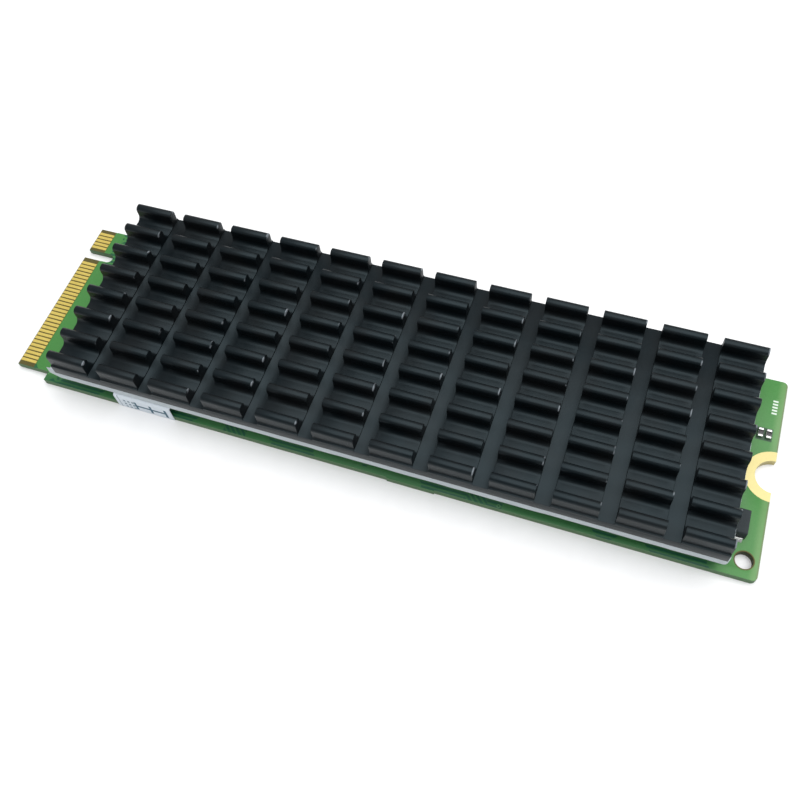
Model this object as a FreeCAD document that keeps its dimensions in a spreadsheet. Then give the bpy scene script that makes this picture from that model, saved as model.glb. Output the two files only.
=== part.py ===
"""M.2 2280 solid state drive with a finned heatsink, in millimetres.

The origin is the centre of the board's underside. +X runs from the edge connector to the
screw notch, +Y towards the short contact tab, +Z up through the heatsink.
"""
import FreeCAD
import Part
import Sketcher
import os
import re

# Driving dimensions. The board follows the M.2 2280 form factor with an M key.
DIMENSIONS = {
    # circuit board
    "board_length": 80.0,
    "board_width": 22.0,
    "board_thickness": 0.8,
    "corner_radius": 0.5,
    "tongue_length": 4.0,
    "tongue_width": 19.85,
    "bevel": 0.15,
    "key_width": 1.2,
    "key_depth": 3.5,
    "key_offset": 6.125,
    "hole_radius": 0.85,
    "hole_from_end": 1.4,
    "hole_offset": 9.25,
    "tab_length": 5.0,
    "tab_proud": 0.1,
    "tab_from_middle": 6.5,
    # gold contacts of the edge connector
    "contact_pitch": 0.5,
    "contact_width": 0.35,
    "contact_length": 1.9,
    "contact_depth": 0.04,
    "mask_opening": 2.3,
    "last_contact": 9.25,
    "top_short_count": 5,
    "top_long_count": 29,
    "bottom_short_count": 4,
    "bottom_long_count": 29,
    # plated half round at the screw end
    "notch_radius": 1.75,
    "land_radius": 2.75,
    "plating_depth": 0.04,
    "sleeve_thickness": 0.1,
    # heatsink
    "sink_length": 70.0,
    "sink_width": 22.1,
    "sink_height": 3.0,
    "sink_shift": 1.75,
    "sink_offset": 0.05,
    "base_thickness": 1.3,
    "fin_count": 8,
    "fin_pitch": 2.96,
    "fin_thickness": 1.0,
    "fin_top_radius": 0.45,
    "inner_foot_radius": 0.6,
    "outer_foot_radius": 0.15,
    "slot_count": 11,
    "slot_width": 1.6,
    "slot_extra_depth": 0.15,
    # thermal pad and the label tucked under it
    "cushion_length": 70.6,
    "cushion_width": 21.9,
    "cushion_thickness": 1.2,
    "cushion_corner": 0.5,
    "label_length": 6.7,
    "label_thickness": 0.1,
    "label_flange": 2.0,
    "label_from_middle": -23.35,
    # ball grid chips: the tallest parts, which the pad rests on
    "chip_height": 1.5,
    "chip_bevel": 0.1,
    "ball_height": 0.25,
    "ball_radius": 0.2,
    "index_radius": 0.4,
    "index_depth": 0.06,
    "index_inset": 1.1,
    "controller_size": 14.0,
    "controller_at": -12.8,
    "controller_balls": 14,
    "controller_ball_pitch": 0.9,
    "memory_length": 7.5,
    "memory_width": 11.0,
    "memory_at": -0.4,
    "memory_columns": 6,
    "memory_rows": 11,
    "memory_ball_pitch": 0.9,
    "flash_length": 12.0,
    "flash_width": 18.0,
    "inner_flash_at": 11.4,
    "outer_flash_at": 26.0,
    "flash_columns": 10,
    "flash_rows": 14,
    "flash_ball_pitch": 1.1,
    # leadless power chips
    "power_chip_height": 0.85,
    "power_chip_at": -26.8,
    "manager_size": 5.0,
    "manager_offset": 5.4,
    "regulator_size": 3.0,
    "regulator_offset": -0.6,
    # timing crystal
    "crystal_length": 2.5,
    "crystal_width": 2.0,
    "crystal_base_height": 0.4,
    "crystal_lid_height": 0.25,
    "crystal_rim": 0.2,
    "crystal_at": -21.8,
    "crystal_offset": 8.3,
    # coils beside the power chips
    "coil_size": 2.5,
    "coil_height": 1.2,
    "coil_bevel": 0.15,
    "coil_pitch": 3.6,
    "coil_first_at": -30.0,
    "coil_offset": -6.2,
    # moulded coil whose end shows beyond the heatsink
    "end_coil_length": 2.5,
    "end_coil_width": 2.2,
    "end_coil_height": 1.45,
    "end_coil_bevel": 0.12,
    "end_coil_at": 37.2,
    "end_coil_offset": -6.0,
    "terminal_thickness": 0.15,
    "terminal_width": 1.8,
    "terminal_height": 0.35,
    "fillet_height": 0.25,
    "fillet_reach": 0.25,
    # 0402 chip resistors beside the screw notch
    "resistor_length": 1.0,
    "resistor_width": 0.5,
    "resistor_height": 0.35,
    "resistor_cap": 0.25,
    "resistor_first_at": 38.1,
    "resistor_pitch": 0.8,
    "resistor_count": 2,
    "resistor_offset": 4.45,
    # 0603 ceramic capacitors in two columns across the board
    "ceramic_length": 1.6,
    "ceramic_width": 0.8,
    "ceramic_height": 0.8,
    "ceramic_cap": 0.35,
    "ceramic_pitch": 2.4,
    "ceramic_count": 8,
    "first_column_at": -32.0,
    "second_column_at": 18.7,
}

doc = FreeCAD.newDocument("solid_state_drive")
sheet = doc.addObject("Spreadsheet::Sheet", "Sheet")
for row, (alias, number) in enumerate(DIMENSIONS.items(), start=1):
    sheet.set(f"A{row}", alias.replace("_", " "))
    sheet.set(f"B{row}", str(number))
    sheet.setAlias(f"B{row}", alias)
doc.recompute()

# Levels that the sub-parts share, as formulas of the sheet's aliases.
BOARD_TOP = "board_thickness"
CHIP_TOP = "board_thickness + chip_height"
CUSHION_TOP = "board_thickness + chip_height + cushion_thickness"
CONNECTOR_EDGE = "-board_length / 2"
NEAR_EDGE = "-board_width / 2"

TOLERANCE = 1e-4


def bound(formula):
    """Write a formula of aliases the way the expression engine reads it."""
    return re.sub(r"[a-z]\w+", r"Sheet.\g<0>", str(formula))


def value(formula):
    """The plain number that a formula of aliases stands for."""
    return float(sheet.evalExpression(bound(formula)))


def bind(item, **formulas):
    """Bind properties of an object to formulas of the sheet's aliases."""
    for name, formula in formulas.items():
        item.setExpression(name, bound(formula))


def origin_part(body, role):
    """The body's own origin plane or axis with this role."""
    return next(item for item in body.Origin.OriginFeatures if item.Role == role)


def new_body(label, x="0", y="0", z="0"):
    """An empty body placed by formulas. It may hold several separate solids."""
    body = doc.addObject("PartDesign::Body", label)
    body.Label = label
    body.AllowCompound = True
    bind(body, **{"Placement.Base.x": x, "Placement.Base.y": y, "Placement.Base.z": z})
    return body


def new_sketch(body, name, x="0", y="0", z="0", role="XY_Plane"):
    """A sketch on one of the body's planes, moved by x and y in the plane and z off it."""
    sketch = body.newObject("Sketcher::SketchObject", name)
    sketch.AttachmentSupport = [(origin_part(body, role), "")]
    sketch.MapMode = "FlatFace"
    offset = "AttachmentOffset.Base."
    bind(sketch, **{offset + "x": x, offset + "y": y, offset + "z": z})
    return sketch


def outline(sketch, points):
    """Closed straight outline through the points, its corners joined."""
    count = len(points)
    for index in range(count):
        start = FreeCAD.Vector(*points[index], 0)
        end = FreeCAD.Vector(*points[(index + 1) % count], 0)
        sketch.addGeometry(Part.LineSegment(start, end), False)
    for index in range(count):
        join = Sketcher.Constraint("Coincident", index, 2, (index + 1) % count, 1)
        sketch.addConstraint(join)


def rectangle(body, name, width, height, **place):
    """Sketch of a rectangle centred on its own origin."""
    sketch = new_sketch(body, name, **place)
    outline(sketch, [(-1, -1), (1, -1), (1, 1), (-1, 1)])
    for side, direction in enumerate(("Horizontal", "Vertical", "Horizontal", "Vertical")):
        sketch.addConstraint(Sketcher.Constraint(direction, side))
    sketch.addConstraint(Sketcher.Constraint("Symmetric", 0, 1, 2, 1, -1, 1))
    wide = sketch.addConstraint(Sketcher.Constraint("DistanceX", 0, 1, 0, 2, 2.0))
    tall = sketch.addConstraint(Sketcher.Constraint("DistanceY", 1, 1, 1, 2, 2.0))
    bind(sketch, **{f"Constraints[{wide}]": width, f"Constraints[{tall}]": height})
    return sketch


def circle(body, name, radius, **place):
    """Sketch of a circle centred on its own origin."""
    sketch = new_sketch(body, name, **place)
    sketch.addGeometry(Part.Circle(FreeCAD.Vector(), FreeCAD.Vector(0, 0, 1), 1.0), False)
    sketch.addConstraint(Sketcher.Constraint("Coincident", 0, 3, -1, 1))
    size = sketch.addConstraint(Sketcher.Constraint("Radius", 0, 1.0))
    bind(sketch, **{f"Constraints[{size}]": radius})
    return sketch


def wedge(body, name, reach, height, **place):
    """Sketch of a right triangle: its square corner on its own origin, reach along +X."""
    sketch = new_sketch(body, name, **place)
    outline(sketch, [(0, 0), (1, 0), (0, 1)])
    sketch.addConstraint(Sketcher.Constraint("Coincident", 0, 1, -1, 1))
    sketch.addConstraint(Sketcher.Constraint("Horizontal", 0))
    sketch.addConstraint(Sketcher.Constraint("Vertical", 2))
    wide = sketch.addConstraint(Sketcher.Constraint("DistanceX", 0, 1, 0, 2, 1.0))
    tall = sketch.addConstraint(Sketcher.Constraint("DistanceY", 2, 2, 2, 1, 1.0))
    bind(sketch, **{f"Constraints[{wide}]": reach, f"Constraints[{tall}]": height})
    return sketch


def pad(body, sketch, length, midplane=False):
    """Material from the sketch along its normal, or to both sides of it."""
    feature = body.newObject("PartDesign::Pad", sketch.Name + "_pad")
    feature.Profile = sketch
    feature.Midplane = midplane
    bind(feature, Length=length)
    doc.recompute()
    return feature


def pocket(body, sketch, depth, upwards=False):
    """Cut from the sketch against its normal, or along it, and see that it cut."""
    before = body.Tip.Shape.Volume
    feature = body.newObject("PartDesign::Pocket", sketch.Name + "_pocket")
    feature.Profile = sketch
    feature.Reversed = upwards
    bind(feature, Length=depth)
    doc.recompute()
    if feature.Shape.Volume > before - TOLERANCE:
        raise RuntimeError(feature.Name + " cuts nothing")
    return feature


def pattern(body, feature, role, pitch, count, second=None):
    """Repeat a feature along an axis, and along a second one given as (role, pitch, count)."""
    repeat = body.newObject("PartDesign::LinearPattern", feature.Name + "_pattern")
    repeat.Originals = [feature]
    repeat.Direction = (origin_part(body, role), [""])
    repeat.Mode = "Spacing"
    bind(repeat, Offset=pitch, Occurrences=count)
    if second:
        second_role, second_pitch, second_count = second
        repeat.Direction2 = (origin_part(body, second_role), [""])
        repeat.Mode2 = "Spacing"
        bind(repeat, Offset2=second_pitch, Occurrences2=second_count)
        doc.recompute()
        # Minus one in each gap makes it follow Offset2; the first gap starts at zero.
        repeat.Spacings2 = [-1.0] * (repeat.Occurrences2 - 1)
    body.Tip = repeat
    doc.recompute()
    return repeat


def mirrored(body, feature, role):
    """The feature and its mirror image in one of the body's planes."""
    mirror = body.newObject("PartDesign::Mirrored", feature.Name + "_mirrored")
    mirror.Originals = [feature]
    mirror.MirrorPlane = (origin_part(body, role), [""])
    body.Tip = mirror
    doc.recompute()
    return mirror


def dress(body, kind, name, size, test):
    """Round (Fillet) or bevel (Chamfer) the edges of the body so far that pass the test."""
    base = body.Tip
    names = [f"Edge{number}" for number, edge in enumerate(base.Shape.Edges, start=1) if test(edge)]
    feature = body.newObject("PartDesign::" + kind, name)
    feature.Base = (base, names)
    bind(feature, **{"Radius" if kind == "Fillet" else "Size": size})
    doc.recompute()
    return feature


def runs_along(edge, axis):
    """True for a straight edge parallel to the axis x, y or z."""
    if edge.Curve.TypeId != "Part::GeomLine":
        return False
    return abs(abs(getattr(edge.Curve.Direction, axis)) - 1) < TOLERANCE


def near(first, second):
    """True for two lengths that are the same."""
    return abs(first - second) < TOLERANCE


def circuit_board():
    """Laminate board: tongue, key slot, bevel, screw notch, hole and shallow copper recesses."""
    body = new_body("circuit_board")
    pad(body, rectangle(body, "board_outline", "board_length", "board_width"), "board_thickness")
    half_length = value("board_length / 2")
    half_width = value("board_width / 2")

    def is_corner(edge):
        middle = edge.CenterOfMass
        return runs_along(edge, "z") and near(middle.x, half_length) and near(abs(middle.y), half_width)

    dress(body, "Fillet", "end_corners", "corner_radius", is_corner)
    tab = rectangle(body, "snapped_tab", "tab_length", "2 * tab_proud", x="tab_from_middle", y=NEAR_EDGE)
    pad(body, tab, "board_thickness")

    # The tongue is narrower than the board: one shoulder is cut from each side.
    shoulder = rectangle(
        body, "shoulder", "2 * tongue_length", "(board_width - tongue_width) / 2",
        x=CONNECTOR_EDGE, y="(board_width + tongue_width) / 4", z=BOARD_TOP)
    mirrored(body, pocket(body, shoulder, "board_thickness"), "XZ_Plane")

    key = rectangle(
        body, "key_slot", "2 * (key_depth - key_width / 2)", "key_width",
        x=CONNECTOR_EDGE, y="key_offset", z=BOARD_TOP)
    pocket(body, key, "board_thickness")
    key_end = circle(
        body, "key_end", "key_width / 2",
        x=CONNECTOR_EDGE + " + key_depth - key_width / 2", y="key_offset", z=BOARD_TOP)
    pocket(body, key_end, "board_thickness")

    notch = circle(body, "screw_notch", "notch_radius + sleeve_thickness", x="board_length / 2", z=BOARD_TOP)
    pocket(body, notch, "board_thickness")
    hole = circle(
        body, "fixture_hole", "hole_radius",
        x="board_length / 2 - hole_from_end", y="-hole_offset", z=BOARD_TOP)
    pocket(body, hole, "board_thickness")

    def is_insertion_edge(edge):
        return runs_along(edge, "y") and near(edge.CenterOfMass.x, -half_length)

    dress(body, "Chamfer", "insertion_bevel", "bevel", is_insertion_edge)

    # Contacts and notch lands lie level with the board's faces, each in a shallow recess.
    faces = (("top", BOARD_TOP, False), ("bottom", "0", True))
    for side, level, upwards in faces:
        land = circle(body, f"land_{side}", "land_radius", x="board_length / 2", z=level)
        pocket(body, land, "plating_depth", upwards)
        fingers = rectangle(
            body, f"fingers_{side}", "2 * mask_opening", "board_width", x=CONNECTOR_EDGE, z=level)
        pocket(body, fingers, "contact_depth", upwards)
    return body


def edge_contacts(side, long_count, short_count, last_contact, level):
    """One row of gold contacts: the long group, the gap at the key, then the short group."""
    body = new_body(f"edge_contacts_{side}", z=level)
    middle = CONNECTOR_EDGE + " + bevel + contact_length / 2"
    groups = (("long", long_count, f"-({last_contact})"),
              ("short", short_count, f"{last_contact} - ({short_count} - 1) * contact_pitch"))
    for name, count, first in groups:
        finger = rectangle(
            body, f"{side}_{name}_contact", "contact_length", "contact_width", x=middle, y=first)
        pattern(body, pad(body, finger, "contact_depth"), "Y_Axis", "contact_pitch", count)
    return body


def mounting_notch_plating():
    """Half ring of plating: a land on each face and the sleeve that joins them in the notch."""
    body = new_body("mounting_notch_plating", x="board_length / 2")
    pad(body, circle(body, "ring_outside", "land_radius"), "board_thickness")
    pocket(body, circle(body, "ring_bore", "notch_radius", z=BOARD_TOP), "board_thickness")

    # The board fills the middle of the ring's height, outside the thin sleeve.
    gap = circle(body, "board_gap", "land_radius + sleeve_thickness", z="plating_depth")
    gap.addGeometry(Part.Circle(FreeCAD.Vector(), FreeCAD.Vector(0, 0, 1), 0.5), False)
    gap.addConstraint(Sketcher.Constraint("Coincident", 1, 3, -1, 1))
    inner = gap.addConstraint(Sketcher.Constraint("Radius", 1, 0.5))
    bind(gap, **{f"Constraints[{inner}]": "notch_radius + sleeve_thickness"})
    pocket(body, gap, "board_thickness - 2 * plating_depth", upwards=True)

    # Only the half that lies on the board is kept.
    beyond = rectangle(body, "beyond_board", "4 * land_radius", "4 * land_radius",
                       x="2 * land_radius", z=BOARD_TOP)
    pocket(body, beyond, "board_thickness")
    return body


def heatsink():
    """Extruded comb of eight fins on a base, with eleven slots milled across it."""
    body = new_body("heatsink", x="sink_shift", y="sink_offset", z=CUSHION_TOP)
    pad(body, rectangle(body, "base", "sink_length", "sink_width"), "base_thickness")
    fin = rectangle(body, "fin", "sink_length", "fin_thickness",
                    y="-fin_pitch * (fin_count - 1) / 2", z="base_thickness")
    fin_pad = pad(body, fin, "sink_height - base_thickness")
    pattern(body, fin_pad, "Y_Axis", "fin_pitch", "fin_count")

    floor = value("base_thickness")
    top = value("sink_height")
    outer_foot = value("(fin_pitch * (fin_count - 1) + fin_thickness) / 2")
    base_side = value("sink_width / 2")

    def is_foot(edge, outer):
        middle = edge.CenterOfMass
        if not runs_along(edge, "x") or not near(middle.z, floor) or near(abs(middle.y), base_side):
            return False
        return near(abs(middle.y), outer_foot) == outer

    dress(body, "Fillet", "inner_feet", "inner_foot_radius", lambda edge: is_foot(edge, False))
    dress(body, "Fillet", "outer_feet", "outer_foot_radius", lambda edge: is_foot(edge, True))

    def is_crest(edge):
        return runs_along(edge, "x") and near(edge.CenterOfMass.z, top)

    dress(body, "Fillet", "fin_crests", "fin_top_radius", is_crest)

    slot_pitch = "(sink_length + slot_width) / (slot_count + 1)"
    slot = rectangle(body, "cross_slot", "slot_width", "sink_width",
                     x=f"-({slot_pitch}) * (slot_count - 1) / 2", z="sink_height")
    cut = pocket(body, slot, "sink_height - base_thickness + slot_extra_depth")
    pattern(body, cut, "X_Axis", slot_pitch, "slot_count")
    return body


def thermal_pad():
    """Soft silicone pad that fills the space between the chips and the heatsink."""
    body = new_body("thermal_pad", x="sink_shift", z=CHIP_TOP)
    pad(body, rectangle(body, "cushion", "cushion_length", "cushion_width"), "cushion_thickness")
    dress(body, "Fillet", "cushion_corners", "cushion_corner", lambda edge: runs_along(edge, "z"))
    return body


def edge_label():
    """Paper label: one flap under the thermal pad, the other down the board's near edge."""
    body = new_body("edge_label", x="label_from_middle")
    front = rectangle(body, "label_front", "label_length", "label_thickness",
                      y=NEAR_EDGE + " - label_thickness / 2")
    pad(body, front, CHIP_TOP)
    flap = rectangle(body, "label_flap", "label_length", "label_flange + label_thickness",
                     y=NEAR_EDGE + " + (label_flange - label_thickness) / 2",
                     z=CHIP_TOP + " - label_thickness")
    pad(body, flap, "label_thickness")
    return body


def chip(label, length, width, height, x, y="0", lift="0"):
    """Moulded package with bevelled top edges and a round pin one mark in its corner."""
    body = new_body(label, x=x, y=y, z=f"{BOARD_TOP} + {lift}")
    pad(body, rectangle(body, label + "_package", length, width), height)
    top = value(height)
    dress(body, "Chamfer", label + "_bevel", "chip_bevel",
          lambda edge: near(edge.CenterOfMass.z, top))
    mark = circle(body, label + "_index", "index_radius",
                  x=f"index_inset - ({length}) / 2", y=f"index_inset - ({width}) / 2", z=height)
    pocket(body, mark, "index_depth")
    return body


def ball_grid(label, pitch, columns, rows, x, y="0"):
    """Grid of short solder columns that stand a package off the board."""
    body = new_body(label, x=x, y=y, z=BOARD_TOP)
    ball = circle(body, label + "_ball", "ball_radius",
                  x=f"-{pitch} * ({columns} - 1) / 2", y=f"-{pitch} * ({rows} - 1) / 2")
    pattern(body, pad(body, ball, "ball_height"), "X_Axis", pitch, columns,
            second=("Y_Axis", pitch, rows))
    return body


def ball_grid_chips():
    """Controller, working memory and two flash packages, each on its grid of balls."""
    height = "chip_height - ball_height"
    chip("controller_chip", "controller_size", "controller_size", height,
         "controller_at", lift="ball_height")
    ball_grid("controller_solder_balls", "controller_ball_pitch",
              "controller_balls", "controller_balls", "controller_at")
    chip("memory_chip", "memory_length", "memory_width", height, "memory_at", lift="ball_height")
    ball_grid("memory_solder_balls", "memory_ball_pitch",
              "memory_columns", "memory_rows", "memory_at")
    for place in ("inner", "outer"):
        chip(f"flash_chip_{place}", "flash_length", "flash_width", height,
             f"{place}_flash_at", lift="ball_height")
        ball_grid(f"flash_solder_balls_{place}", "flash_ball_pitch",
                  "flash_columns", "flash_rows", f"{place}_flash_at")


def power_chips():
    """Leadless power manager and regulator near the connector."""
    for label, size in (("power_manager", "manager"), ("voltage_regulator", "regulator")):
        chip(label, f"{size}_size", f"{size}_size", "power_chip_height",
             "power_chip_at", y=f"{size}_offset")


def clock_crystal():
    """Timing crystal: ceramic base with a smaller metal lid."""
    base = new_body("crystal_base", x="crystal_at", y="crystal_offset", z=BOARD_TOP)
    pad(base, rectangle(base, "crystal_tray", "crystal_length", "crystal_width"), "crystal_base_height")
    lid = new_body("crystal_lid", x="crystal_at", y="crystal_offset",
                   z=BOARD_TOP + " + crystal_base_height")
    cover = rectangle(lid, "crystal_cover", "crystal_length - crystal_rim", "crystal_width - crystal_rim")
    pad(lid, cover, "crystal_lid_height")


def power_coils():
    """Two square moulded coils for the power chips."""
    body = new_body("power_coils", x="coil_first_at", y="coil_offset", z=BOARD_TOP)
    block = pad(body, rectangle(body, "coil_block", "coil_size", "coil_size"), "coil_height")
    pattern(body, block, "X_Axis", "coil_pitch", 2)
    top = value("coil_height")
    dress(body, "Chamfer", "coil_bevels", "coil_bevel", lambda edge: near(edge.CenterOfMass.z, top))


def end_coil():
    """Moulded coil half under the heatsink, its end terminals and their solder."""
    place = {"x": "end_coil_at", "y": "end_coil_offset", "z": BOARD_TOP}
    body = new_body("end_coil_body", **place)
    pad(body, rectangle(body, "end_coil_block", "end_coil_width", "end_coil_length"), "end_coil_height")
    top = value("end_coil_height")
    dress(body, "Chamfer", "end_coil_bevels", "end_coil_bevel",
          lambda edge: near(edge.CenterOfMass.z, top))

    terminals = new_body("end_coil_terminals", **place)
    strip = rectangle(terminals, "terminal", "terminal_width", "terminal_thickness",
                      y="(end_coil_length + terminal_thickness) / 2")
    mirrored(terminals, pad(terminals, strip, "terminal_height"), "XZ_Plane")

    solder = new_body("end_coil_solder", **place)
    meniscus = wedge(solder, "meniscus", "fillet_reach", "fillet_height",
                     x="end_coil_length / 2 + terminal_thickness", role="YZ_Plane")
    mirrored(solder, pad(solder, meniscus, "terminal_width", midplane=True), "XZ_Plane")


def capped_blocks(name, size, x, y, pitch, count, axis):
    """Row of two-ended parts lying along Y: their bodies in one node, metal ends in another."""
    bodies = new_body(f"{name}_bodies", x=x, y=y, z=BOARD_TOP)
    core = rectangle(bodies, f"{name}_core", f"{size}_width", f"{size}_length - 2 * {size}_cap")
    pattern(bodies, pad(bodies, core, f"{size}_height"), axis, pitch, count)

    ends = new_body(f"{name}_ends", x=x, y=y, z=BOARD_TOP)
    for side, sign in (("near", "-"), ("far", "")):
        cap = rectangle(ends, f"{name}_{side}_cap", f"{size}_width", f"{size}_cap",
                        y=f"{sign}({size}_length - {size}_cap) / 2")
        pattern(ends, pad(ends, cap, f"{size}_height"), axis, pitch, count)


def small_parts():
    """Chip resistors by the screw notch and two columns of ceramic capacitors."""
    capped_blocks("chip_resistor", "resistor", "resistor_first_at", "resistor_offset",
                  "resistor_pitch", "resistor_count", "X_Axis")
    for column in ("first", "second"):
        capped_blocks(f"{column}_capacitor", "ceramic", f"{column}_column_at",
                      "-ceramic_pitch * (ceramic_count - 1) / 2",
                      "ceramic_pitch", "ceramic_count", "Y_Axis")


def check(sub_parts):
    """Stop on a failed object, or on a sub-part whose shape is missing or not valid."""
    failed = [item.Name for item in doc.Objects if {"Invalid", "Error"} & set(item.State)]
    broken = [item.Label for item in sub_parts if item.Shape.isNull() or not item.Shape.isValid()]
    if failed or broken:
        raise RuntimeError(f"failed objects {failed}, broken shapes {broken}")


def export(sub_parts):
    """Write each sub-part to its own STEP file and print its size."""
    os.makedirs("parts", exist_ok=True)
    for item in sub_parts:
        item.Shape.exportStep(f"parts/{item.Label}.step")
        box = item.Shape.BoundBox
        print(f"{item.Label}: {len(item.Shape.Solids)} solids, "
              f"{box.XLength:.2f} x {box.YLength:.2f} x {box.ZLength:.2f}, "
              f"volume {item.Shape.Volume:.3f}")


circuit_board()
edge_contacts("top", "top_long_count", "top_short_count", "last_contact",
              BOARD_TOP + " - contact_depth")
edge_contacts("bottom", "bottom_long_count", "bottom_short_count",
              "last_contact - contact_pitch / 2", "0")
mounting_notch_plating()
ball_grid_chips()
power_chips()
clock_crystal()
power_coils()
end_coil()
small_parts()
thermal_pad()
edge_label()
heatsink()

doc.recompute()
bodies = [item for item in doc.Objects if item.TypeId == "PartDesign::Body"]
check(bodies)
export(bodies)
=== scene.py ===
from math import radians

import bpy
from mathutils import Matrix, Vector


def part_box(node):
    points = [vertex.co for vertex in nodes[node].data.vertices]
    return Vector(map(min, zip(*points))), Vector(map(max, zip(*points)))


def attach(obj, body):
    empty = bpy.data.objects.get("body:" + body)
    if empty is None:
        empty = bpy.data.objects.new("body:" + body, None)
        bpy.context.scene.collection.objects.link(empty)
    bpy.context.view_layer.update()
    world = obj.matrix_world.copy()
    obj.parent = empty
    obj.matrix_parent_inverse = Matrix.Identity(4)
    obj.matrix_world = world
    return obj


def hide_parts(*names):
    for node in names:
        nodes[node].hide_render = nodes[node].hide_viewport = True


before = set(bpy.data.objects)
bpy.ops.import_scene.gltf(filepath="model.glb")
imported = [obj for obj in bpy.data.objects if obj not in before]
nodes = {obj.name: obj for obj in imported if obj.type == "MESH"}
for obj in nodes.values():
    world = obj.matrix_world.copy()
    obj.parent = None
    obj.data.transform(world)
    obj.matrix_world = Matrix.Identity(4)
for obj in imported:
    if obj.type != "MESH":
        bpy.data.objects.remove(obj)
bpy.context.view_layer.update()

# ---------------------------------------------------------------------------------------
# Stage: the drive lies on a pale table under one large soft lamp, overhead and a little
# behind and to the right, so that the fins' tops and floors catch light and their faces
# stay dark.

MM = 0.001

camera_data = bpy.data.cameras.new("camera")
camera_data.lens = 40.66
camera_data.sensor_width = 36.0
camera_data.clip_start = 1 * MM
camera = bpy.data.objects.new("camera", camera_data)
camera.location = Vector((23.13, -44.64, 82.87)) * MM
camera.rotation_euler = (radians(29.64), radians(4.06), radians(18.92))
bpy.context.scene.collection.objects.link(camera)
bpy.context.scene.camera = camera
bpy.context.scene.view_settings.view_transform = "Standard"

lamp_data = bpy.data.lights.new("overhead_lamp", "AREA")
lamp_data.shape = "RECTANGLE"
lamp_data.size = 0.90
lamp_data.size_y = 0.74
lamp_data.energy = 5.8
lamp = bpy.data.objects.new("overhead_lamp", lamp_data)
lamp.location = (0.19, 0.08, 0.55)
bpy.context.scene.collection.objects.link(lamp)


class Wire:
    """A shader socket. Arithmetic on wires adds Math nodes, and node() adds any other kind."""

    def __init__(self, tree, socket=None):
        self.tree = tree
        self.socket = socket

    def node(self, kind, inputs=None, output=0, stops=None, **settings):
        """Add a node: its settings first, then a value or a wire for each input."""
        node = self.tree.nodes.new(kind)
        for name, setting in settings.items():
            setattr(node, name, setting)
        if stops:
            ramp = node.color_ramp.elements
            while len(ramp) < len(stops):
                ramp.new(0.5)
            for element, (position, colour) in zip(ramp, stops):
                element.position = position
                element.color = colour
        for name, value in (inputs or {}).items():
            if isinstance(value, Wire):
                self.tree.links.new(value.socket, node.inputs[name])
            else:
                node.inputs[name].default_value = value
        return Wire(self.tree, node.outputs[output] if node.outputs else None)

    def maths(self, operation, *others):
        """A Math node on this wire and up to two other wires or numbers."""
        return self.node("ShaderNodeMath", dict(enumerate((self, *others))), operation=operation)

    def __add__(self, other):
        return self.maths("ADD", other)

    def __radd__(self, other):
        return self.maths("ADD", other)

    def __sub__(self, other):
        return self.maths("SUBTRACT", other)

    def __rsub__(self, other):
        return (self * -1) + other

    def __mul__(self, other):
        return self.maths("MULTIPLY", other)

    def __rmul__(self, other):
        return self.maths("MULTIPLY", other)

    def __truediv__(self, other):
        return self.maths("DIVIDE", other)

    def __abs__(self):
        return self.maths("ABSOLUTE")

    def __mod__(self, other):
        return self.maths("FLOORED_MODULO", other)

    def smooth(self, low, high):
        """Nought below low, one above high and a smooth step between them."""
        return self.node("ShaderNodeMapRange", {"Value": self, "From Min": low, "From Max": high},
                         interpolation_type="SMOOTHSTEP")

    def between(self, low, high, soft=0.02):
        """One from low to high and nought outside, with soft steps."""
        return self.smooth(low - soft, low + soft) * (1 - self.smooth(high - soft, high + soft))


def blend_colours(amount, first, second):
    """The first colour where amount is nought, the second where it is one."""
    colours = {0: amount, 6: first, 7: second}
    return amount.node("ShaderNodeMix", colours, output=2, data_type="RGBA")


def blend_numbers(amount, first, second):
    """The first number where amount is nought, the second where it is one."""
    return first + (second - first) * amount


class Finish:
    """A material under way: millimetre coordinates on the piece, textures and the shader."""

    def __init__(self, name):
        self.material = bpy.data.materials.new(name)
        self.material.use_nodes = True
        tree = self.material.node_tree
        tree.nodes.clear()
        self.start = Wire(tree)
        metres = self.start.node("ShaderNodeTexCoord", output="Object")
        self.place = metres.node("ShaderNodeVectorMath", {0: metres, "Scale": 1000.0},
                                 operation="SCALE")
        self.x, self.y, self.z = (
            self.start.node("ShaderNodeSeparateXYZ", {0: self.place}, output=axis) for axis in range(3))
        normal = self.start.node("ShaderNodeNewGeometry", output="True Normal")
        self.facing_x, self.facing_y, self.facing_z = (
            self.start.node("ShaderNodeSeparateXYZ", {0: normal}, output=axis) for axis in range(3))

    def noise(self, scale, detail=2.0, stretch=(1.0, 1.0, 1.0), roughness=0.5):
        """Noise with about this many features to the millimetre, stretched by axis."""
        spread = self.start.node("ShaderNodeVectorMath", {0: self.place, 1: stretch}, operation="MULTIPLY")
        return self.start.node("ShaderNodeTexNoise", {
            "Vector": spread, "Scale": scale, "Detail": detail, "Roughness": roughness})

    def flattened(self):
        """The place on the piece seen from above, for patterns that run through it."""
        return self.start.node("ShaderNodeVectorMath", {0: self.place, 1: (1.0, 1.0, 0.0)},
                               operation="MULTIPLY")

    def done(self, height=None, depth=0.01, **inputs):
        """Connect the shader, with a bump of this depth in millimetres if a height is given."""
        named = {name.replace("_", " ").title().replace("Ior", "IOR"): value
                 for name, value in inputs.items()}
        if height is not None:
            named["Normal"] = self.start.node("ShaderNodeBump", {"Height": height, "Distance": depth * MM})
        shader = self.start.node("ShaderNodeBsdfPrincipled", named)
        self.start.node("ShaderNodeOutputMaterial", {"Surface": shader})
        return self.material


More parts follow.
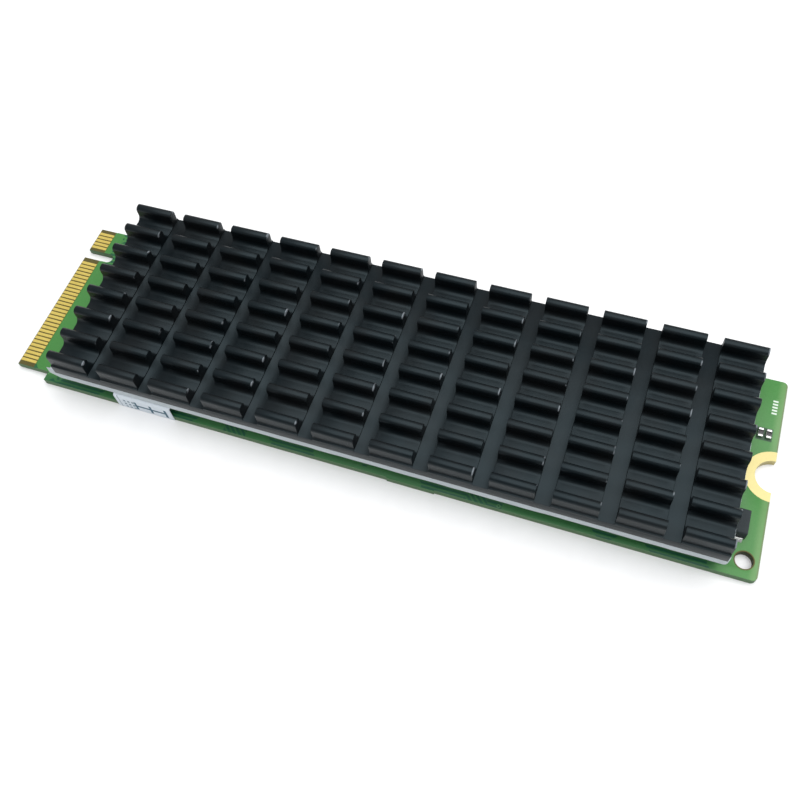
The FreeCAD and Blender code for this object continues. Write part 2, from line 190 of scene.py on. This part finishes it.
bpy.ops.object.select_all(action="DESELECT")
bpy.ops.mesh.primitive_plane_add(size=3.0, location=(0, 0, 0))
table = bpy.context.object
table.name = "table"
tabletop = Finish("pale_table")
mottling = tabletop.noise(0.4, detail=4)
table.data.materials.append(tabletop.done(
    base_color=blend_colours(mottling, (0.80, 0.80, 0.80, 1), (0.86, 0.86, 0.86, 1)),
    roughness=0.85))

world = bpy.data.worlds.new("studio")
world.use_nodes = True
background = world.node_tree.nodes["Background"].inputs
background["Color"].default_value = (0.95, 0.97, 1.0, 1.0)
background["Strength"].default_value = 0.45
bpy.context.scene.world = world

# ---------------------------------------------------------------------------------------
# Heatsink: one length of black anodised aluminium, extruded with eight fins and milled
# across eleven times. Its cut edges are lightly tumbled, so each has a very small round.


def select_only(piece):
    """Leave this piece selected and active, and nothing else."""
    bpy.ops.object.select_all(action="DESELECT")
    piece.select_set(True)
    bpy.context.view_layer.objects.active = piece


def add_modifier(piece, kind, **settings):
    """Add a modifier of this kind to the piece and apply it."""
    select_only(piece)
    modifier = piece.modifiers.new(kind.lower(), kind)
    for name, setting in settings.items():
        setattr(modifier, name, setting)
    bpy.ops.object.modifier_apply(modifier=modifier.name)


def worked_copy(node, name, edge):
    """A copy of a CAD node, its facets joined into faces and its sharp edges rounded off."""
    merge_distance = 0.0001
    piece = bpy.data.objects.new(name, nodes[node].data.copy())
    bpy.context.scene.collection.objects.link(piece)
    piece.data.materials.clear()
    select_only(piece)
    bpy.ops.object.mode_set(mode="EDIT")
    bpy.ops.mesh.select_all(action="SELECT")
    bpy.ops.mesh.remove_doubles(threshold=merge_distance * MM)
    bpy.ops.mesh.customdata_custom_splitnormals_clear()
    bpy.ops.mesh.dissolve_limited(angle_limit=radians(0.5))
    bpy.ops.object.mode_set(mode="OBJECT")
    add_modifier(piece, "BEVEL", width=edge * MM, segments=2, limit_method="ANGLE",
                 angle_limit=radians(40), harden_normals=False, miter_outer="MITER_ARC")
    select_only(piece)
    bpy.ops.object.shade_smooth_by_angle(angle=radians(35))
    return piece


def stand_in(piece, node):
    """The piece rides on the drive and stands for a CAD node."""
    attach(piece, "root")
    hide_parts(node)


heatsink = worked_copy("heatsink", "finned_heatsink", edge=0.05)
sink_low, sink_high = (Vector(corner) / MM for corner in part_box("heatsink"))
fin_columns = 12
slot_width = 1.6
slot_floor_z = 4.65
column_pitch = (sink_high.x - sink_low.x + slot_width) / fin_columns

anodised = Finish("black_anodised_aluminium")
drawn = anodised.noise(9.0, detail=3, stretch=(0.03, 1.0, 1.0))
milled = anodised.noise(9.0, detail=3, stretch=(1.0, 0.04, 1.0))
pits = anodised.noise(14.0, detail=4)
cloud = anodised.noise(0.25, detail=2)
rub = anodised.noise(0.9, detail=5, roughness=0.7).smooth(0.55, 0.72)
slot_floor = anodised.z.between(slot_floor_z - 0.05, slot_floor_z + 0.05) * anodised.facing_z.smooth(0.8, 0.9)
lines = blend_numbers(slot_floor, drawn, milled)
dye = blend_colours(cloud.smooth(0.35, 0.65), (0.0026, 0.0044, 0.0056, 1), (0.0048, 0.0054, 0.0060, 1))

# Painted highlights: pale specks here and there at the top of each fin's right end, where
# its corners catch the light. A column is measured from the middle of the slot before it, so
# that no fin's face lies where the count starts again.
along_column = (anodised.x - sink_low.x + slot_width / 2) % column_pitch
fin_end = column_pitch - slot_width / 2
fin_corner = (along_column.smooth(fin_end - 0.167, fin_end - 0.067)
              * anodised.z.smooth(sink_high.z - 0.40, sink_high.z - 0.15))
painted_corner_glints = fin_corner * anodised.noise(0.8, detail=1).smooth(0.52, 0.60)
rubbed = blend_colours(0.5 * rub, dye, (0.0090, 0.0115, 0.0130, 1))
heatsink.data.materials.append(anodised.done(
    height=0.6 * lines + 0.4 * pits, depth=0.010,
    base_color=blend_colours(0.8 * painted_corner_glints, rubbed, (0.20, 0.22, 0.24, 1)),
    roughness=0.29 + 0.10 * cloud + 0.10 * pits,
    specular_ior_level=0.26, specular_tint=(0.70, 0.91, 1.0, 1.0)))
stand_in(heatsink, "heatsink")

# ---------------------------------------------------------------------------------------
# Circuit board: glass laminate under green solder mask, its traces showing through as
# lines and pours. The connector end is bare between contacts, and the edges are routed.

board = worked_copy("circuit_board", "circuit_board_laminate", edge=0.015)

# Places on the board, in millimetres from its middle.
mask_start = -37.94
fan_start, fan_end = -37.6, -34.6
ground_start = 35.6
hole_x, hole_y, hole_radius = 38.6, -9.25, 0.85

mask = Finish("green_solder_mask")
flat = abs(mask.facing_z).smooth(0.5, 0.7)
coated = mask.x.smooth(mask_start - 0.02, mask_start + 0.02)
upper = mask.facing_z.smooth(0.5, 0.7)

# Copper under the mask: fine traces and loops behind the contacts, and routes and pours
# farther back, with vias all over.
contact_pitch = 0.5
lane = (mask.y + contact_pitch / 2) % contact_pitch
behind = mask.x.between(fan_start, fan_end, 0.1) * lane.between(0.16, 0.34, 0.03)
patch = mask.start.node("ShaderNodeTexVoronoi", {
    "Vector": mask.flattened(), "Scale": 0.20, "Randomness": 0.9}, output="Color", distance="MANHATTAN")
route_pitch = 0.42
along, slant = (
    (distance % route_pitch).between(0.12, 0.30, 0.03) for distance in (mask.y, (mask.x + mask.y) * 0.707))
island = patch.smooth(0.60, 0.605)
routed = blend_numbers(patch.smooth(0.46, 0.465), along, slant) * mask.x.smooth(fan_end, fan_end + 0.4)
ground = mask.x.smooth(ground_start, ground_start + 0.4)
pour = island.maths("MAXIMUM", ground)
via_scale = 0.55
from_via = mask.start.node("ShaderNodeTexVoronoi", {
    "Vector": mask.flattened(), "Scale": via_scale, "Randomness": 0.85}) / via_scale
loops = from_via.between(0.50, 0.64, 0.04) * mask.x.between(fan_start, fan_end + 1.6, 0.1)
copper = (behind + loops + routed * (1 - pour) * 0.8 + pour).maths("MINIMUM", 1.0)
via_ring = 1 - from_via.smooth(0.20, 0.24)
via_well = 1 - from_via.smooth(0.10, 0.13)
grain = mask.noise(7.0, detail=4)
tint = mask.noise(0.3, detail=2)

bare_mask = blend_colours(tint, (0.008, 0.080, 0.034, 1), (0.018, 0.120, 0.046, 1))
over_copper = blend_colours(grain, (0.044, 0.185, 0.038, 1), (0.070, 0.230, 0.060, 1))
green = blend_colours(copper, bare_mask, over_copper)
via_showing = 1 - 0.8 * ground
green = blend_colours(via_ring * via_showing, green, (0.120, 0.300, 0.110, 1))
green = blend_colours(via_well * via_showing, green, (0.008, 0.070, 0.024, 1))

# Painted shade darkens the mask along the near edge, under the pad. The mask thins to a pale margin and a
# bare rim at the screw end.
painted_shade_under_pad = (1 - mask.y.smooth(-10.6, -9.8)) * (1 - mask.x.smooth(ground_start, ground_start + 1.0)) * upper
green = blend_colours(0.45 * painted_shade_under_pad, green, (0.002, 0.050, 0.034, 1))
green = blend_colours(0.25 * mask.x.smooth(39.0, 39.7), green, (0.30, 0.42, 0.20, 1))
green = blend_colours(0.55 * mask.x.smooth(39.82, 39.88), green, (0.16, 0.17, 0.09, 1))

# White ink: a stack of five short bars by the far corner, and a row of ticks beside the end coil.
bar_pitch = 0.36
first_bar = 6.9
bars = ((mask.y - first_bar) % bar_pitch).between(0.05, 0.24)
stack = bars * mask.x.between(38.85, 39.35) * mask.y.between(first_bar, first_bar + 5 * bar_pitch)
ticks = mask.x.between(37.6, 38.5) * mask.y.between(-4.45, -4.33) * (mask.x % 0.34).between(0.08, 0.26)
ink = (stack + ticks).maths("MINIMUM", 1.0) * upper
face = blend_colours(ink, green, (0.62, 0.70, 0.62, 1))

# Painted shade: the board is near black round and under the two chip resistors.
painted_shade_round_resistors = mask.x.between(37.72, 39.28, 0.06) * mask.y.between(3.72, 5.18, 0.08) * upper
face = blend_colours(0.85 * painted_shade_round_resistors, face, (0.010, 0.034, 0.020, 1))

# Bare laminate shows between the contacts and round the fixture hole.
laminate = blend_colours(grain, (0.060, 0.052, 0.012, 1), (0.115, 0.095, 0.024, 1))
from_hole = mask.start.node("ShaderNodeVectorMath", {0: mask.flattened(), 1: (hole_x, hole_y, 0)},
                            output="Value", operation="DISTANCE")
uncovered = (1 - coated).maths("MAXIMUM", 1 - from_hole.smooth(hole_radius + 0.07, hole_radius + 0.15))
face = blend_colours(uncovered, face, laminate)

# Routed edges: resin and glass in thin plies, with dark copper layers between them.
weave = mask.noise(5.0, detail=3, stretch=(0.15, 0.15, 3.0))
ply_thickness = 0.2
ply = (mask.z % ply_thickness).between(0.02, 0.07, 0.02)
side = blend_colours(weave, (0.040, 0.120, 0.052, 1), (0.135, 0.230, 0.110, 1))
side = blend_colours(0.6 * ply, side, (0.035, 0.045, 0.020, 1))
burr = 1 - mask.z.smooth(0.02, 0.14)
side = blend_colours(0.7 * burr, side, (0.20, 0.22, 0.16, 1))
# Painted shade: the wall of the fixture hole is drilled laminate, darkened to a dark olive inside the hole.
side = blend_colours(from_hole.smooth(hole_radius + 0.15, hole_radius + 0.55), (0.040, 0.046, 0.016, 1), side)

board.data.materials.append(mask.done(
    height=0.7 * copper + 0.5 * via_ring - 0.9 * via_well + 0.12 * grain + 0.3 * ink, depth=0.02,
    base_color=blend_colours(flat, side, face),
    roughness=0.62 - 0.28 * flat * (1 - uncovered) + 0.10 * grain + 0.2 * ink,
    specular_ior_level=0.32))
stand_in(board, "circuit_board")

# ---------------------------------------------------------------------------------------
# Contacts and notch plating: hard gold over nickel, plated onto the board's copper. The
# contacts carry faint wipe marks along their length from being plugged in.


def refinish(node, material):
    """Give a CAD node that stays as it is its own finish."""
    for slot in nodes[node].material_slots:
        slot.material = material


gold = Finish("contact_gold")
wipes = gold.noise(16.0, detail=3, stretch=(0.06, 1.0, 1.0))
stain = gold.noise(0.8, detail=3)
contact_gold = gold.done(
    height=wipes, depth=0.004, metallic=0.72,
    base_color=blend_colours(0.6 * wipes + 0.4 * stain, (0.50, 0.38, 0.070, 1), (0.80, 0.63, 0.18, 1)),
    roughness=0.40 + 0.16 * wipes)
refinish("edge_contacts_top", contact_gold)
refinish("edge_contacts_bottom", contact_gold)

plating = Finish("notch_gold")
peel = plating.noise(3.0, detail=4)
refinish("mounting_notch_plating", plating.done(
    height=peel, depth=0.006, metallic=1.0,
    base_color=blend_colours(peel, (0.38, 0.335, 0.150, 1), (0.46, 0.400, 0.190, 1)),
    roughness=0.30 + 0.16 * peel))

# ---------------------------------------------------------------------------------------
# Chips: the controller, working memory, two flash packages and two power chips, all in
# black moulded epoxy. The big four stand on reflowed solder balls.

epoxy = Finish("black_moulded_epoxy")
filler = epoxy.noise(22.0, detail=3)
flow = epoxy.noise(0.5, detail=2)
moulded = epoxy.done(
    height=filler, depth=0.008,
    base_color=blend_colours(filler, (0.010, 0.010, 0.011, 1), (0.030, 0.030, 0.032, 1)),
    roughness=0.55 + 0.15 * filler + 0.10 * flow)
for node in ("controller_chip", "memory_chip", "flash_chip_inner", "flash_chip_outer",
             "power_manager", "voltage_regulator"):
    package = worked_copy(node, node + "_package", edge=0.025)
    package.data.materials.append(moulded)
    stand_in(package, node)

tin = Finish("reflowed_solder")
frost = tin.noise(9.0, detail=3)
reflowed = tin.done(
    height=frost, depth=0.006, metallic=1.0,
    base_color=blend_colours(frost, (0.50, 0.50, 0.50, 1), (0.80, 0.80, 0.79, 1)),
    roughness=0.28 + 0.20 * frost)
for node in ("controller_solder_balls", "memory_solder_balls",
             "flash_solder_balls_inner", "flash_solder_balls_outer"):
    refinish(node, reflowed)

# ---------------------------------------------------------------------------------------
# Timing crystal: a cream tray of fired ceramic that holds a sliver of quartz, closed by a
# brushed nickel lid that is welded round its edge.

tray = worked_copy("crystal_base", "crystal_tray", edge=0.05)
fired = Finish("fired_ceramic")
bisque = fired.noise(8.0, detail=4)
tray.data.materials.append(fired.done(
    height=bisque, depth=0.006,
    base_color=blend_colours(bisque, (0.33, 0.27, 0.19, 1), (0.45, 0.38, 0.28, 1)),
    roughness=0.55 + 0.15 * bisque))
stand_in(tray, "crystal_base")

lid = worked_copy("crystal_lid", "crystal_cover", edge=0.06)
nickel = Finish("brushed_nickel")
brush = nickel.noise(20.0, detail=2, stretch=(0.08, 1.0, 1.0))
lid.data.materials.append(nickel.done(
    height=brush, depth=0.004, metallic=1.0,
    base_color=blend_colours(brush, (0.56, 0.54, 0.50, 1), (0.74, 0.72, 0.68, 1)),
    roughness=0.24 + 0.16 * brush))
stand_in(lid, "crystal_lid")

# ---------------------------------------------------------------------------------------
# Coils: blocks pressed from iron powder and resin, two by the power chips and one whose
# end shows past the heatsink, soldered down by a bent terminal at each side.

pressed = Finish("pressed_iron_powder")
powder = pressed.noise(11.0, detail=4, roughness=0.7)
patches = pressed.noise(1.2, detail=2)
mixed = 0.7 * powder + 0.3 * patches
block_finish = pressed.done(
    height=powder, depth=0.02,
    base_color=blend_colours(mixed, (0.012, 0.016, 0.018, 1), (0.044, 0.054, 0.058, 1)),
    roughness=0.62 + 0.18 * powder, specular_ior_level=0.22)
for node in ("power_coils", "end_coil_body"):
    coil = worked_copy(node, node + "_pressed", edge=0.06)
    coil.data.materials.append(block_finish)
    stand_in(coil, node)
for node, metal in (("end_coil_terminals", "tin"), ("end_coil_solder", "solder")):
    joint = worked_copy(node, node + "_reflowed", edge=0.03)
    joint.data.materials.append(reflowed)
    stand_in(joint, node)

# ---------------------------------------------------------------------------------------
# Chip resistors: two white ceramic slips with a black glazed top, tinned round both ends
# and soldered side by side near the screw notch.

glazed = Finish("glazed_resistor")
slip = glazed.noise(10.0, detail=3)
glaze = glazed.facing_z.smooth(0.5, 0.7)
resistors = worked_copy("chip_resistor_bodies", "chip_resistor_slips", edge=0.03)
resistors.data.materials.append(glazed.done(
    height=slip, depth=0.006,
    base_color=blend_colours(glaze, (0.62, 0.62, 0.58, 1), (0.012, 0.013, 0.014, 1)),
    roughness=0.55 - 0.25 * glaze + 0.10 * slip))
stand_in(resistors, "chip_resistor_bodies")
resistor_caps = worked_copy("chip_resistor_ends", "chip_resistor_caps", edge=0.06)
resistor_caps.data.materials.append(reflowed)
stand_in(resistor_caps, "chip_resistor_ends")

# ---------------------------------------------------------------------------------------
# Ceramic capacitors: two columns of tan fired blocks between the chips, with both ends of
# each dipped in tin so that it can be soldered down.

capacitor = Finish("capacitor_ceramic")
speck = capacitor.noise(12.0, detail=4)
fired_tan = capacitor.done(
    height=speck, depth=0.006,
    base_color=blend_colours(speck, (0.24, 0.15, 0.085, 1), (0.36, 0.24, 0.14, 1)),
    roughness=0.42 + 0.15 * speck)
for column in ("first", "second"):
    blocks = worked_copy(f"{column}_capacitor_bodies", f"{column}_column_blocks", edge=0.05)
    blocks.data.materials.append(fired_tan)
    stand_in(blocks, f"{column}_capacitor_bodies")
    caps = worked_copy(f"{column}_capacitor_ends", f"{column}_column_caps", edge=0.08)
    caps.data.materials.append(reflowed)
    stand_in(caps, f"{column}_capacitor_ends")

# ---------------------------------------------------------------------------------------
# Thermal pad: a slab of pale filled silicone, cut by hand and squeezed between the chips
# and the heatsink, so that its sides bulge and its cut edge wavers.


def select_edges(piece, test):
    """In edit mode, select the edges that pass a test on their two ends, and nothing else."""
    bpy.ops.mesh.select_mode(type="EDGE")
    bpy.ops.mesh.select_all(action="DESELECT")
    bpy.ops.object.mode_set(mode="OBJECT")
    points = piece.data.vertices
    for line in piece.data.edges:
        line.select = test(*(points[index].co for index in line.vertices))
    bpy.ops.object.mode_set(mode="EDIT")


def box_between(name, low, high):
    """A cube stretched between two corners, its place in its mesh."""
    bpy.ops.object.select_all(action="DESELECT")
    bpy.ops.mesh.primitive_cube_add(size=1.0)
    piece = bpy.context.object
    piece.name = name
    bpy.ops.object.mode_set(mode="EDIT")
    bpy.ops.transform.resize(value=high - low)
    bpy.ops.transform.translate(value=(low + high) / 2)
    bpy.ops.object.mode_set(mode="OBJECT")
    return piece


pad_low, pad_high = (Vector(corner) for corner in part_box("thermal_pad"))
cushion = box_between("silicone_pad", pad_low, pad_high)
bpy.ops.object.mode_set(mode="EDIT")
select_edges(cushion, lambda a, b: abs(a.z - b.z) > 1 * MM)
bpy.ops.mesh.bevel(offset=0.5 * MM, segments=6, affect="EDGES")
select_edges(cushion, lambda a, b: abs(a.z - b.z) < 0.01 * MM)
bpy.ops.mesh.bevel(offset=0.14 * MM, segments=3, affect="EDGES")
select_edges(cushion, lambda a, b: abs(a.x - b.x) > 30 * MM)
bpy.ops.mesh.subdivide(number_cuts=90)
select_edges(cushion, lambda a, b: abs(a.y - b.y) > 12 * MM)
bpy.ops.mesh.subdivide(number_cuts=30)

# One corner was pulled out past the heatsink when the pad was laid, most of all at its tip.
for reach, pull in ((10.75, 0.55), (10.0, 0.45), (9.2, 0.25)):
    select_edges(cushion, lambda a, b: max(a.x, b.x) < pad_low.x + 0.3 * MM and max(a.y, b.y) < -reach * MM)
    bpy.ops.transform.translate(value=(-pull * MM, 0.12 * pull * MM, 0))
bpy.ops.object.mode_set(mode="OBJECT")
waver = bpy.data.textures.new("hand_cut", "CLOUDS")
waver.noise_scale = 2.5 * MM
add_modifier(cushion, "DISPLACE", texture=waver, strength=0.08 * MM, mid_level=1.0,
             texture_coords="LOCAL")
bpy.ops.object.shade_smooth()

silicone = Finish("pale_filled_silicone")
grit = silicone.noise(16.0, detail=4)
drag = silicone.noise(6.0, detail=2, stretch=(0.2, 0.2, 2.5))
haze = silicone.noise(0.5, detail=3)
dust = silicone.noise(3.0, detail=5, roughness=0.75).smooth(0.62, 0.70)
body_colour = blend_colours(0.5 * grit + 0.5 * haze, (0.38, 0.43, 0.46, 1), (0.54, 0.59, 0.61, 1))
cushion.data.materials.append(silicone.done(
    height=0.5 * grit + 0.5 * drag, depth=0.03,
    base_color=blend_colours(0.4 * dust, body_colour, (0.25, 0.27, 0.29, 1)),
    roughness=0.50 + 0.25 * grit))
stand_in(cushion, "thermal_pad")

# ---------------------------------------------------------------------------------------
# Edge label: white coated paper, its flap tucked under the pad and its face folded down
# the board's near edge, printed in teal with a plain ruled scale.

label_low, label_high = (Vector(corner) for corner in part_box("edge_label"))
label_middle = (label_low + label_high) / 2
paper_gauge = 0.08 * MM
face_y = label_low.y + paper_gauge / 2
fold_z = label_high.z - paper_gauge / 2
bpy.ops.object.select_all(action="DESELECT")
bpy.ops.mesh.primitive_plane_add(size=1.0)
label = bpy.context.object
label.name = "folded_edge_label"
bpy.ops.object.mode_set(mode="EDIT")
bpy.ops.mesh.select_all(action="SELECT")
flap_back = label_high.y - 0.02 * MM
bpy.ops.transform.resize(value=(label_high.x - label_low.x, flap_back - face_y, 1.0))
bpy.ops.transform.translate(value=(label_middle.x, (flap_back + face_y) / 2, fold_z))
select_edges(label, lambda a, b: max(a.y, b.y) < face_y + 0.1 * MM)
drop = label_low.z + 0.03 * MM - fold_z
bpy.ops.mesh.extrude_region_move(TRANSFORM_OT_translate={"value": (0, 0, drop)})
select_edges(label, lambda a, b: min(a.z, b.z) > fold_z - 0.1 * MM and max(a.y, b.y) < face_y + 0.1 * MM)
bpy.ops.mesh.bevel(offset=0.22 * MM, segments=4, affect="EDGES")
select_edges(label, lambda a, b: abs(a.x - b.x) > 3 * MM)
bpy.ops.mesh.subdivide(number_cuts=16)
select_edges(label, lambda a, b: abs(a.z - b.z) > 1.5 * MM)
bpy.ops.mesh.subdivide(number_cuts=6)
bpy.ops.object.mode_set(mode="OBJECT")
add_modifier(label, "SOLIDIFY", thickness=paper_gauge, offset=0.0)
select_only(label)
bpy.ops.object.shade_smooth_by_angle(angle=radians(35))

paper = Finish("printed_label_paper")
fibre = paper.noise(9.0, detail=5)
crease = paper.noise(1.3, detail=2)
across = paper.x - label_middle.x / MM
front = (-1 * paper.facing_y).smooth(0.5, 0.7)
rule = paper.z.between(0.86, 1.18) * across.between(-1.0, 2.6)
post_spans = ((-1.08, -0.80), (0.70, 0.98), (2.46, 2.76))
posts = sum(across.between(*span) for span in post_spans) * paper.z.between(0.25, 1.75)
grid = (across % 0.5).between(0.10, 0.38) * (paper.z % 0.6).between(0.10, 0.44)
dots = grid * across.between(-2.55, -1.05) * paper.z.between(0.2, 1.85)
border = across.between(-2.95, -2.85)
print_ink = (rule + posts + dots * 0.8 + border * 0.6).maths("MINIMUM", 1.0) * front
sheet = blend_colours(fibre, (0.58, 0.65, 0.71, 1), (0.73, 0.78, 0.83, 1))
label.data.materials.append(paper.done(
    height=0.4 * fibre + 0.6 * crease, depth=0.03,
    base_color=blend_colours(print_ink, sheet, (0.006, 0.080, 0.130, 1)),
    roughness=0.45 + 0.15 * fibre))
stand_in(label, "edge_label")
